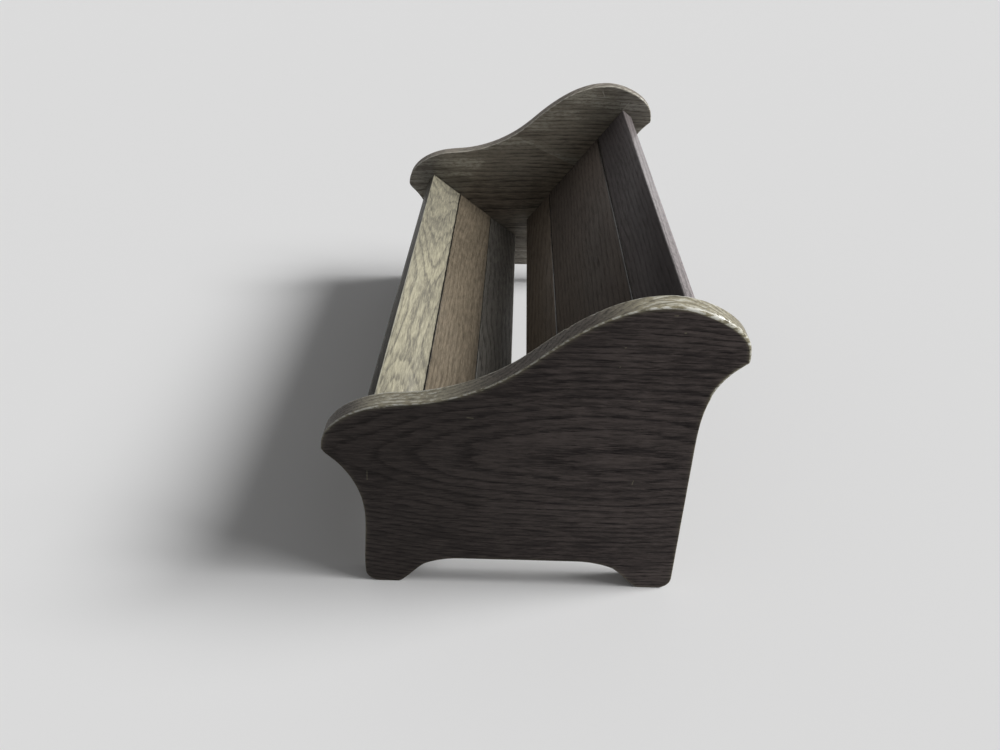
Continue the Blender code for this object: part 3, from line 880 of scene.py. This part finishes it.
def room_inside(rows, inward):
    """The radius of the largest circle inside the outline that touches it at each point."""
    apart = rows[None, :, :] - rows[:, None, :]
    ahead = (apart * inward[:, None, :]).sum(axis=2)
    squares = (apart ** 2).sum(axis=2)
    radii = np.where(ahead > 1e-7, squares / (2 * np.maximum(ahead, 1e-7)), 1.0)
    return radii.min(axis=1)


def arris_radii(rows, upward, chance, shoulder, nicks):
    """A radius for each point: rounder on top, where hands go, with a slow wobble and some nicks."""
    count = len(rows)
    turns = 2 * np.pi * np.arange(count) / count
    wobble = sum(chance.normal() * np.cos(k * turns + chance.uniform(0, 6.28)) / math.sqrt(k)
                 for k in range(2, 40))
    wobble /= np.abs(wobble).max()
    radii = PLAIN_RADIUS + WOBBLE * wobble + TOP_WEAR * upward
    for spot in chance.integers(0, count, 12):
        radii[spot] += KNOCK * upward[spot]
    held = np.exp(-(((rows[:, 0] - SHOULDER_Y) / SHOULDER_REACH) ** 2))
    held *= np.where(rows[:, 1] > SHOULDER_Z, 0.55 + 0.45 * upward, 0)
    radii = np.clip(radii + shoulder * held, LEAST_RADIUS, MOST_RADIUS)
    for nick in nicks:
        radii[np.linalg.norm(rows - nick, axis=1).argmin()] = NICK_RADIUS
    return radii


WEAR_REACH = 0.0028
LINE_WIDTH = 0.0004
QUARTER = (0, math.pi / 6, math.pi / 3, math.pi / 2)


def arris_rings(radii):
    """Rings from the broad face to the rim: how far in, how far through, and how worn."""
    none = np.zeros_like(radii)
    rings = [(none + WEAR_REACH, none, 0.0), (radii + LINE_WIDTH, none, 0.25)]
    rings += [(radii * (1 - math.sin(a)), radii * (1 - math.cos(a)), 1.0) for a in QUARTER]
    rings += [(none, radii + LINE_WIDTH, 0.25), (none, radii + WEAR_REACH, 0.0)]
    return rings


# %% Building an end
OUTER_SHOULDER, INNER_SHOULDER = 0.0016, 0.0008


def end_board(name, side, seed, nicks):
    """One shaped end, lofted from rings round its outline, with its wear and painted light written as
    attributes.
    """
    rows = refined(packed_outline(name, side * (INSIDE_HALF + END_ARRIS)), OUTLINE_STEP)
    rows = np.maximum(rows, (-1, 0))
    inward = inward_normals(rows)
    upward = np.clip(-inward[:, 1], 0, 1)
    chance = np.random.default_rng(seed)
    squeeze = np.clip(0.9 * room_inside(rows, inward) / WEAR_REACH, 0.02, 1)
    outer = arris_radii(rows, upward, chance, OUTER_SHOULDER, [])
    inner = arris_radii(rows, upward, chance, INNER_SHOULDER, nicks)
    # Painted light: the rim is paler where it faces up and darker where it faces the front, away from the light,
    # and the worn line of an arris is strongest on top and on the upper back, where light falls.
    facing_the_light = np.clip(1 - 3.2 * np.maximum(inward[:, 0] - 0.22, 0), 0.05, 1)
    high = np.clip((rows[:, 1] - 0.125) / 0.02, 0, 1)
    touched_and_lit = 0.4 + 0.6 * np.maximum(upward, -inward[:, 0] * high).clip(0, 1) ** 0.5
    rings = arris_rings(outer) + [(d, END_THICKNESS - t, w) for d, t, w in reversed(arris_rings(inner))]
    shell = bmesh.new()
    worn, rim, inside = [shell.verts.layers.float.new(name) for name in ("worn", "rim", "inside")]
    loops = []
    for depth, through, wear in rings:
        loop = []
        columns = zip(rows, inward, depth * squeeze, through, touched_and_lit, upward * facing_the_light)
        for place, normal, d, t, held, pale in columns:
            y, z = place + normal * d
            point = shell.verts.new((side * (INSIDE_HALF + END_THICKNESS - t), y, z))
            point[worn] = wear * held
            point[rim] = (1 - min(1.0, d / LINE_WIDTH)) * (0.1 + 0.9 * pale)
            point[inside] = float(t > END_THICKNESS - SAME_PLACE)
            loop.append(point)
        loops.append(loop)
    bridge(shell, loops)
    shell.faces.new(loops[0])
    shell.faces.new(loops[-1])
    bmesh.ops.recalc_face_normals(shell, faces=shell.faces)
    return mesh_from(name, shell)


# %% [markdown]
# ## Wood of the ends
# The grain of an end runs from front to back. Its rim is pale on top, from wear and from painted light, and
# the light line along an arris comes from the "worn" attribute: worn wood that also stands in for a painted
# highlight. Painted shade darkens the inner faces round the boards, and each end towards the front. The broad
# faces carry small marks of use: short scratches and dents, each a little capsule in the shader, paler or
# darker than the wood. The list of each says where it is, how long and wide it is, and its slope in degrees.


# %% Marks and end wood
def mark(where, y, z, half_length, width, angle):
    """A short scratch as a share from nothing to one, at a place on a broad face."""
    cosine, sine = math.cos(math.radians(angle)), math.sin(math.radians(angle))
    dy, dz = where["X"] - y, where["Y"] - z
    past = larger(abs(dy * cosine + dz * sine) - half_length, 0.0)
    sideways = dz * cosine - dy * sine
    away = calculate("SQRT", past * past + sideways * sideways)
    return fade(away, width * 0.4, width)


def attribute(tree, name):
    """A number stored on the mesh."""
    return node(tree, "ShaderNodeAttribute", output="Fac", attribute_name=name, attribute_type="GEOMETRY")


def corner_shade_and_dirt(place, board, width):
    """Painted shade, with some dirt, where an end meets a board: a dark line along the corner, and a broad shade
    round it.
    """
    start, (_, along, off) = board.to_translation(), board.to_3x3().col
    from_board = vectors("SUBTRACT", place, (start.y, start.z, 0.0))
    height = vectors("DOT_PRODUCT", from_board, (off.y, off.z, 0.0))
    across = vectors("DOT_PRODUCT", from_board, (along.y, along.z, 0.0))
    gap = larger(abs(height), larger(-across, across - width))
    return larger(fade(gap, 0.0004, 0.0060) * 0.6, fade(gap, 0.0, 0.040) * 0.62)


END_GRAIN_TURN = Matrix(((0, 0, 1), (1, 0, 0), (0, 1, 0))).to_4x4()
BOARD_WIDTHS = ((SHELF, 2 * SHELF_OUTER + SHELF_MIDDLE), (BACK, 2 * BACK_OUTER + BACK_MIDDLE))


def end_wood(name, side, wood, scratches, dents):
    """Fumed oak with its grain from front to back, pale on the rim and along worn arrises from wear and painted
    light, with painted shade round the boards and towards the front.
    """

    def wear_and_light(place):
        worn, rim, inside = [attribute(place.tree, name) for name in ("worn", "rim", "inside")]
        hands = ramp(noise(place, (14, 110, 110), 4.0, 0.6), [(0.30, 0.3), (0.56, 1.0)])
        # Paler: the worn arrises and the rim, from wear and painted light, rubbed patches inside, and scratches.
        share = larger(worn, rim * wood["rim_wear_and_light"], inside * hands)
        marked = inside if side == -1 else 1.0 - inside
        where = split(place)
        marks = [mark(where, *scratch) * wood["scratch_depth"] * marked for scratch in scratches]
        return larger(share, *marks)

    def dirt_and_shade(place):
        where = split(place)
        rim, inside = [attribute(place.tree, name) for name in ("rim", "inside")]
        shares = [mark(where, *dent) * 0.8 for dent in dents]
        # Painted shade, with some dirt, on the inner faces round the boards.
        shares += [corner_shade_and_dirt(place, board, width) * inside for board, width in BOARD_WIDTHS]
        # Painted shade: each end darkens towards the front, away from the light, a little less on the rim.
        front_shade = fade(where["X"], -0.07, 0.09) * wood["front_shade"]
        return larger(*shares, front_shade * (1.0 - rim * 0.3))

    grain = Matrix.Translation((side * INSIDE_HALF, 0, 0)) @ END_GRAIN_TURN
    return oak(name + "_oak", grain, wood, wear_and_light, dirt_and_shade)


# %% The two ends
ENDS = {
    "right_end": dict(
        side=1, seed=11, nicks=[(0.0322, 0.1807), (0.0215, 0.1707)],
        # The worn and bare colours are worn oak made pale enough to stand in for the painted sheen of the rim
        # and a painted highlight on the arrises.
        wood=dict(dark=(0.021, 0.017, 0.018), light=(0.135, 0.111, 0.102), worn=(0.41, 0.37, 0.225),
                  bare=(0.78, 0.77, 0.69), pore_depth=0.95, banding=0.5, fibre_depth=0.8, rim_wear_and_light=0.85,
                  front_shade=0.55, scratch_depth=0.7,
                  log={"Pith": (0.04, 0.102, -0.050), "Taper": 0.0, "Bow": 0.5, "Ring width": 0.0026,
                       "Waviness": 0.010, "Streak width": 0.0006, "Streak length": 0.011}),
        scratches=[(-0.0284, 0.1244, 0.0016, 0.0004, -8), (-0.0852, 0.0837, 0.0035, 0.0003, 86),
                   (0.0593, 0.0829, 0.0014, 0.0003, 80), (0.0474, 0.1691, 0.0002, 0.0004, 10),
                   (0.0458, 0.1579, 0.0002, 0.0004, 40), (0.0750, 0.1780, 0.0003, 0.0004, 0),
                   (0.0695, 0.1874, 0.0008, 0.0004, 0), (0.0572, 0.1374, 0.0002, 0.0004, 0)],
        dents=[(-0.0617, 0.0472, 0.0006, 0.0008, 0), (-0.0526, 0.0479, 0.0004, 0.0007, 0),
               (-0.0372, 0.0530, 0.0012, 0.0008, 0)]),
    "left_end": dict(
        side=-1, seed=12, nicks=[],
        # The worn colour is worn oak made pale enough to stand in for a painted highlight along the inner arris.
        wood=dict(dark=(0.041, 0.034, 0.026), light=(0.228, 0.192, 0.151), worn=(0.49, 0.45, 0.37),
                  bare=(0.60, 0.57, 0.48), pore_depth=0.75, fibre_depth=0.65, rim_wear_and_light=0.25, front_shade=0.22,
                  scratch_depth=1.5,
                  log={"Pith": (-0.03, 0.060, -0.060), "Taper": 0.02, "Bow": 0.2, "Ring width": 0.0028,
                       "Waviness": 0.010, "Streak length": 0.020}),
        scratches=[(0.0656, 0.1850, 0.0026, 0.0007, -65), (0.0856, 0.1750, 0.0040, 0.0007, 52),
                   (0.0812, 0.1752, 0.0028, 0.0005, 85)],
        dents=[]),
}

for name, entry in ENDS.items():
    side = entry["side"]
    source = add_object(name + "_source", end_board(name, side, entry["seed"], entry["nicks"]))
    source.data.materials.append(end_wood(name, side, entry["wood"], entry["scratches"], entry["dents"]))
    drills = [dowel_drill(dowel) for dowel in dowels_on(side)]
    finish_board(name, source, Matrix.Identity(4), drills, BODY_OF_SIDE[side], 40)

# %% [markdown]
# ## Cleats
# Under each board two bars run across the strips. The keeper is screwed to both outer strips and holds them
# parallel. The stop is screwed to the middle strip, and meets the keeper when the slide is drawn right out.
# They were never meant to be seen, so they are plain bars with eased edges, in bare oak that has darkened.


# %% Cleats under the boards
CLEAT_ARRIS = 0.0009
CLEAT_WOOD = dict(dark=(0.060, 0.045, 0.032), light=(0.150, 0.115, 0.080), worn=(0.24, 0.19, 0.13),
                  pore_depth=0.6, roughness=0.62,
                  log={"Pith": (0.0, 0.03, -0.04), "Taper": 0.02, "Ring width": 0.0028, "Waviness": 0.006})
CLEATS = {
    "shelf_keeper_cleat": (SHELF, 1),
    "shelf_stop_cleat": (SHELF, -1),
    "back_keeper_cleat": (BACK, 1),
    "back_stop_cleat": (BACK, -1),
}


def cleat_wood(name, grain, half_size):
    """Bare oak whose grain runs across the board."""

    def wear_and_light(place):
        where = split(place)
        x, y, z = [half - abs(where[axis]) for axis, half in zip("XYZ", half_size)]
        middle = larger(smaller(x, y), smaller(larger(x, y), z))
        return fade(middle, 0.0002, 0.0018) * 0.6

    def dirt_and_shade(place):
        return ramp(noise(place, (60, 60, 60), 3.0), [(0.55, 0), (0.8, 1)]) * 0.3

    return oak(name + "_oak", grain, CLEAT_WOOD, wear_and_light, dirt_and_shade)


for name, (board, side) in CLEATS.items():
    low, high = box_on_board(name, board)
    size = high - low
    shell = bmesh.new()
    bmesh.ops.create_cube(shell, size=1, matrix=Matrix.Diagonal((*size, 1)))
    place = board @ Matrix.Translation((low + high) / 2)
    source = add_object(name + "_source", mesh_from(name, shell))
    source.matrix_world = place
    grain = place @ Matrix.Rotation(math.pi / 2, 4, "Z")
    source.data.materials.append(cleat_wood(name, grain, (size.y / 2, size.x / 2, size.z / 2)))
    ease(source, CLEAT_ARRIS, 3)
    drills = [screw_drill(screw_seat(screw, board)) for screw in pegs_of(name, "screw")]
    finish_board(name, source, place, drills, BODY_OF_SIDE[side])

# %% [markdown]
# ## Dowels
# A dowel is a beech peg with flutes, so that glue can creep past it, and chamfered ends, so that it starts
# easily. Thirteen of them are the same, so one tree makes them: a star with many points is the fluted
# section, it is drawn along a line of four points whose scale shrinks at both ends, and the result is set on
# every point of a mesh that only holds the places.


# %% Dowel tree
def set_on_places(places, peg, material, result, **more):
    """Put a peg on every point of the mesh that comes in, as real geometry with its material."""
    pegs = then(then(places, "InstanceOnPoints", {"Instance": peg, **more}), "RealizeInstances")
    fill(result, {0: then(pegs, "SetMaterial", {"Material": material})})


def dowel_tree():
    """Fluted dowels along X on every point of the mesh that comes in."""
    inputs = {"Places": "NodeSocketGeometry", "Length": 0.021, "Diameter": 0.005, "Chamfer": 0.0008,
              "Flutes": 14, "Flute depth": 0.00025, "Wood": "NodeSocketMaterial"}
    outputs = {"Dowels": "NodeSocketGeometry"}
    tree, size, result = new_group("GeometryNodeTree", "fluted dowels", inputs, outputs)
    half = size["Length"] * 0.5
    shoulder = half - size["Chamfer"]
    line = node(tree, "GeometryNodeMeshLine", {"Count": 4})
    stations = combine(tree, by_index(tree, "FLOAT", [-half, -shoulder, shoulder, half]), 0.0, 0.0)
    path = then(then(line, "SetPosition", {"Position": stations}), "MeshToCurve")
    scale = by_index(tree, "FLOAT", [0.8, 1.0, 1.0, 0.8])
    radius = size["Diameter"] * 0.5
    ridges = {"Points": size["Flutes"], "Inner Radius": radius - size["Flute depth"], "Outer Radius": radius}
    star = node(tree, "GeometryNodeCurveStar", ridges)
    peg = then(path, "CurveToMesh", {"Profile Curve": star, "Scale": scale, "Fill Caps": True})
    set_on_places(size["Places"], peg, size["Wood"], result)
    return tree


DOWEL_TREE = dowel_tree()
print("dowel tree:", len(DOWEL_TREE.nodes), "nodes")


# %% Beech
def beech(name):
    """Pale, close wood with short darker flecks, rubbed with glue."""
    material, tree, shader = new_material(name)
    place = grain_place(tree, Matrix.Identity(4))
    flecks = ramp(noise(place, (400, 2600, 2600), 2.0), [(0.55, 0.0), (0.68, 1.0)])
    tone = noise(place, (40, 300, 300), 3.0)
    colour = mix(tone, (0.36, 0.25, 0.15, 1), (0.52, 0.38, 0.24, 1))
    colour = mix(flecks * 0.5, colour, (0.22, 0.13, 0.07, 1))
    rough = tone * 0.2 + 0.55
    fill(shader, {"Base Color": colour, "Roughness": rough, "Normal": bumps(flecks, 0.3, 0.0001)})
    return material


# %% Dowels of each half
def point_mesh(name, places, headings=()):
    """A mesh that only holds places, and for each a heading if there are any."""
    mesh = bpy.data.meshes.new(name)
    mesh.from_pydata([tuple(place) for place in places], [], [])
    if headings:
        layer = mesh.attributes.new("heading", "FLOAT_VECTOR", "POINT")
        layer.data.foreach_set("vector", [part for heading in headings for part in heading])
    return mesh


def finish_pegs(body, kind, tree, values, points, nodes, sharp=None):
    """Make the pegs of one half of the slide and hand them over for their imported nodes."""
    source = run_tree(f"{body}_{kind}_source", tree, values, points)
    piece = settle(f"{body}_{kind}", source, Matrix.Identity(4))
    hand_over(piece, body, nodes, sharp)
    print(piece.name, len(nodes), "in all, volume and open edges:", measured(piece))


BEECH = beech("dowel_beech")
for side, body in BODY_OF_SIDE.items():
    nodes = dowels_on(side)
    boxes = [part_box(dowel) for dowel in nodes]
    points = point_mesh(body + "_dowel_places", [(low + high) / 2 for low, high in boxes])
    low, high = boxes[0]
    values = {"Length": high.x - low.x, "Diameter": high.z - low.z, "Wood": BEECH}
    finish_pegs(body, "dowels", DOWEL_TREE, values, points, nodes)

# %% [markdown]
# ## Wood screws
# The cleats are held by countersunk screws with slotted heads, which were never turned to line up. Only the
# heads show, but the thread is real: a cylinder with many rings is taken point by point, its radius set from
# the height, and a saw-tooth that climbs once for each turn cuts the thread. A block takes out the slot, and
# each screw is then turned about its own axis by a random angle with a fixed seed.


# %% Screw tree
POINT_SLOPE, TIP_RADIUS, PLAIN_SHARE = 0.38, 0.0001, 0.33


def thread(height, size):
    """The radius of a screw at a height below its head."""
    head = size["Head"] * 0.5 - height
    shank = size["Shank"] * 0.5
    point = (size["Length"] - height) * POINT_SLOPE + TIP_RADIUS
    plain = smaller(larger(head, shank), point)
    where = split(node(height.tree, "GeometryNodeInputPosition"))
    turn = calculate("ARCTAN2", where["Y"], where["X"]) / (2 * math.pi)
    tooth = calculate("PINGPONG", height / size["Pitch"] + turn, 0.5)
    cutting = calculate("GREATER_THAN", height, size["Length"] * PLAIN_SHARE)
    groove = tooth * 2.0 * size["Thread depth"] * cutting
    return plain - smaller(groove, plain * 0.4)


def screw_tree():
    """Slotted screws on every point of the mesh that comes in, each turned to its heading."""
    inputs = {"Places": "NodeSocketGeometry", "Length": SCREW_LENGTH, "Head": SCREW_HEAD, "Shank": SCREW_SHANK,
              "Pitch": 0.0011, "Thread depth": 0.0003, "Slot width": 0.0008, "Slot depth": 0.0007, "Seed": 3,
              "Steel": "NodeSocketMaterial"}
    outputs = {"Screws": "NodeSocketGeometry"}
    tree, size, result = new_group("GeometryNodeTree", "slotted screws", inputs, outputs)
    shape = {"Vertices": 24, "Side Segments": 60, "Radius": 1.0, "Depth": 1.0}
    rod = node(tree, "GeometryNodeMeshCylinder", shape, fill_type="NGON")
    where = split(node(tree, "GeometryNodeInputPosition"))
    height = (0.5 - where["Z"]) * size["Length"]
    radius = thread(height, size)
    place = combine(tree, where["X"] * radius, where["Y"] * radius, -height)
    rod = then(rod, "SetPosition", {"Position": place})
    slot = combine(tree, size["Head"] * 1.4, size["Slot width"], size["Slot depth"] * 2.0)
    block = node(tree, "GeometryNodeMeshCube", {"Size": slot})
    slotted = then(rod, "MeshBoolean", {"Mesh 2": block}, operation="DIFFERENCE")
    heading = node(tree, "GeometryNodeInputNamedAttribute", {"Name": "heading"}, data_type="FLOAT_VECTOR")
    upright = node(tree, "FunctionNodeAlignRotationToVector", {"Vector": heading}, axis="Z")
    bounds = {2: 0.0, 3: math.pi, "Seed": size["Seed"]}
    angle = node(tree, "FunctionNodeRandomValue", bounds, 1, data_type="FLOAT")
    spin = node(tree, "FunctionNodeEulerToRotation", {0: combine(tree, 0.0, 0.0, angle)})
    turns = {"Rotation": upright, "Rotate By": spin}
    rotation = node(tree, "FunctionNodeRotateRotation", turns, rotation_space="LOCAL")
    set_on_places(size["Places"], slotted, size["Steel"], result, Rotation=rotation)
    return tree


SCREW_TREE = screw_tree()
print("screw tree:", len(SCREW_TREE.nodes), "nodes")


# %% Dulled steel
def dull_steel(name):
    """Old steel: grey metal with brown patches where it has begun to rust."""
    material, tree, shader = new_material(name)
    place = grain_place(tree, Matrix.Identity(4))
    rust = ramp(noise(place, (700, 700, 700), 4.0, 0.6), [(0.45, 0.0), (0.62, 1.0)])
    fill(shader, {
        "Base Color": mix(rust, (0.25, 0.235, 0.215, 1), (0.11, 0.065, 0.04, 1)),
        "Metallic": 0.9,
        "Roughness": rust * 0.35 + 0.36,
        "Normal": bumps(rust, 0.3, 0.00008),
    })
    return material


# %% Screws of each half
STEEL = dull_steel("screw_steel")
for side, body in BODY_OF_SIDE.items():
    nodes, seats = [], []
    for name, (board, cleat_side) in CLEATS.items():
        if cleat_side == side:
            own = pegs_of(name, "screw")
            nodes += own
            seats += [screw_seat(screw, board) for screw in own]
    headings = [-seat.to_3x3().col[2] for seat in seats]
    points = point_mesh(body + "_screw_places", [seat.to_translation() for seat in seats], headings)
    values = {"Steel": STEEL, "Seed": 3 + side}
    finish_pegs(body, "screws", SCREW_TREE, values, points, nodes, 35)

# %% [markdown]
# ## Floor and light
# The slide stands on a plain pale floor. Two soft lights from far away, a sky and a window, both shine from
# above and behind its right side: they fall on the tops of the ends and on the front of the shelf, while the
# back board keeps its own face and the rear of the shelf in shade. A low even light from all round only lifts
# the shadows. The floor looks pale to the camera but throws less light back at the wood, as a deep-coloured
# cloth would.

# %% Floor
FLOOR_HALF = 6.0


def seen_directly(tree):
    """One for what the camera sees straight, in a mirror or through glass, and nothing for soft light."""
    path = outputs_of(add_node(tree, "ShaderNodeLightPath"))
    return larger(path["Is Camera Ray"], larger(path["Is Glossy Ray"], path["Is Transmission Ray"]))


def pale_floor():
    """A large plain sheet that keeps the slide's shadow."""
    mesh = bpy.data.meshes.new("floor")
    corners = [(FLOOR_HALF * x, FLOOR_HALF * y, 0) for x, y in ((-1, -1), (1, -1), (1, 1), (-1, 1))]
    mesh.from_pydata(corners, [], [(0, 1, 2, 3)])
    floor = add_object("floor", mesh)
    material, tree, shader = new_material("pale_floor")
    colour = mix(seen_directly(tree), (0.30, 0.30, 0.31, 1), (0.84, 0.84, 0.84, 1))
    fill(shader, {"Base Color": colour, "Roughness": 0.9, "Specular IOR Level": 0.1})
    mesh.materials.append(material)
    floor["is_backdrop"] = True


# %% Lights and world
def quiet_world(level):
    """Even light of a low level that the camera sees as white."""
    world = bpy.data.worlds.new("room")
    world.use_nodes = True
    bpy.context.scene.world = world
    tree = world.node_tree
    colour = mix(seen_directly(tree), (level, level, level, 1), (1, 1, 1, 1))
    fill(tree.nodes["Background"], {"Color": colour})


def distant_light(name, towards, strength, softness):
    """Even light from far away, as from a wide sky, that comes from a direction."""
    light = bpy.data.lights.new(name, "SUN")
    light.energy = strength
    light.angle = math.radians(softness)
    add_object(name, light).rotation_euler = Vector(towards).to_track_quat("Z", "Y").to_euler()


pale_floor()
quiet_world(0.17)
distant_light("sky", (-0.06, 0.79, 0.61), 1.7, 22)
distant_light("window", (0.07, 0.80, 0.58), 1.8, 28)
print("lights:", [light.name for light in bpy.data.lights])

# %% [markdown]
# ## Camera
# The camera stands where the photographer stood, found by fitting the two equal ends and the straight strips
# of the model to the photograph. Its three directions are written as the columns of a matrix, and the focal
# length in pixels becomes a lens in millimetres on a 36 mm wide frame.

# %% Camera
SENSOR_WIDTH = 36
FOCAL_PIXELS, PHOTO_PIXELS = 806.21, 1000
camera = bpy.data.cameras.new("camera")
camera.sensor_width = SENSOR_WIDTH
camera.lens = FOCAL_PIXELS / PHOTO_PIXELS * SENSOR_WIDTH
viewer = add_object("camera", camera)
right = Vector((-0.029347, 0.999547, 0.007253))
up = Vector((-0.561366, -0.022478, 0.827262))
behind = right.cross(up)
turn = Matrix((right, up, behind)).transposed().to_4x4()
viewer.matrix_world = Matrix.Translation((0.530777, -0.005082, 0.376284)) @ turn
bpy.context.scene.camera = viewer
print("lens in mm:", round(camera.lens, 2))

# %% [markdown]
# ## Finish
# The view transform is Standard, so a colour comes out as it is written. Last, the box of the dressed slide is
# measured.

# %% Measure the box and finish
bpy.context.scene.view_settings.view_transform = "Standard"
bpy.context.view_layer.update()
low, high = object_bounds()
